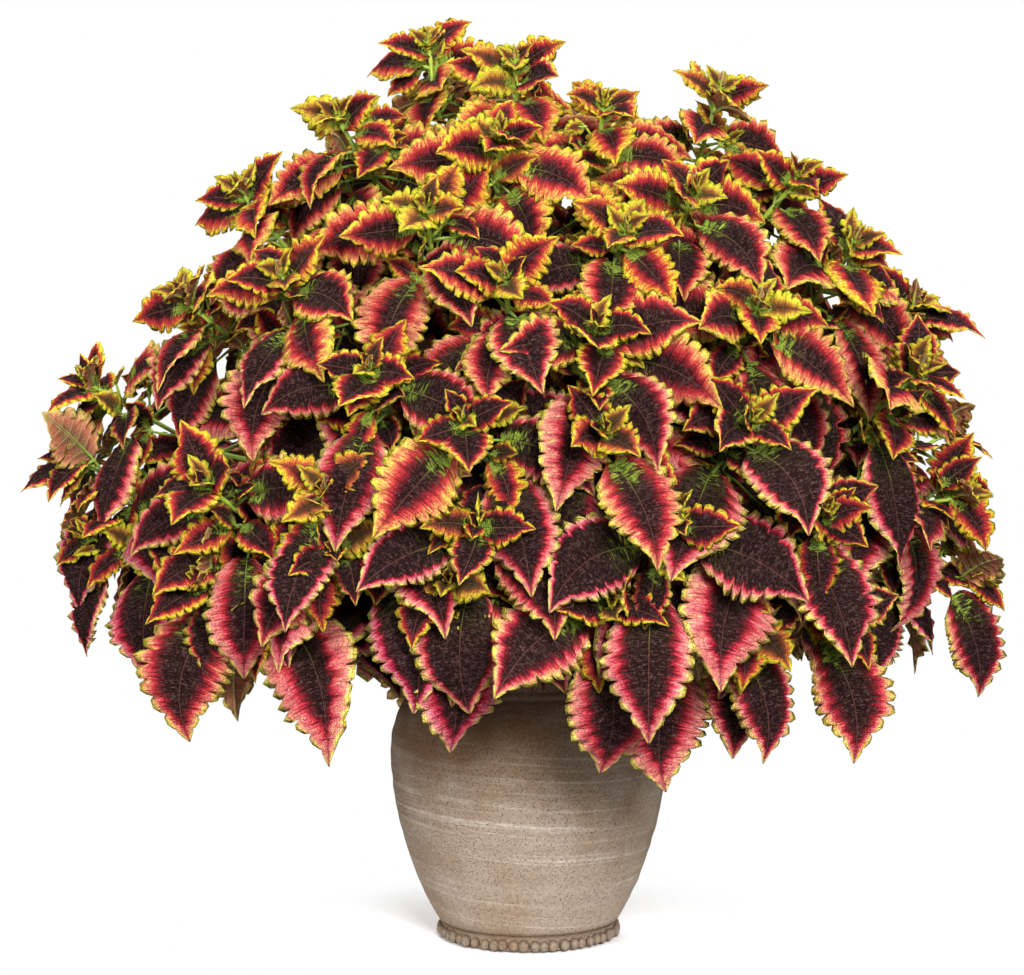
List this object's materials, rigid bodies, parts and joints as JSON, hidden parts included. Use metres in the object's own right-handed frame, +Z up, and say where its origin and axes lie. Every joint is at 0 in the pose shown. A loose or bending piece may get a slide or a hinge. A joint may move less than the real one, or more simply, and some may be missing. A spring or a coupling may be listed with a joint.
{
  "type": "potted coleus",
  "caption": "Bushy coleus with toothed, variegated leaves in a dome over a wheel-thrown clay pot with a beaded foot.",
  "frame": {"origin": "On the ground, at the middle of the pot's foot.", "axes": "+Z up. -Y is the plant's front, its fullest side, and +X is to the right seen from the front."},
  "size_m": [0.8848, 0.7379, 0.827],
  "materials": {
    "clay": "matte",
    "soil": "matte",
    "foliage": "satin"
  },
  "bodies": {
    "root": {"pot": "clay", "soil": "soil", "leafy_stem_top": "foliage", "leafy_stem_middle": "foliage", "leafy_stem_peak_right": "foliage", "leafy_stem_peak_left": "foliage", "leafy_stem_right": "foliage", "leafy_stem_left": "foliage", "leafy_stem_front": "foliage", "leafy_stem_flank_right": "foliage", "leafy_stem_flank_left": "foliage", "leafy_stem_low_left": "foliage", "leafy_stem_low_right": "foliage", "leafy_stem_back": "foliage", "leafy_stem_back_left": "foliage", "leafy_stem_back_right": "foliage"}
  },
  "joints": []
}
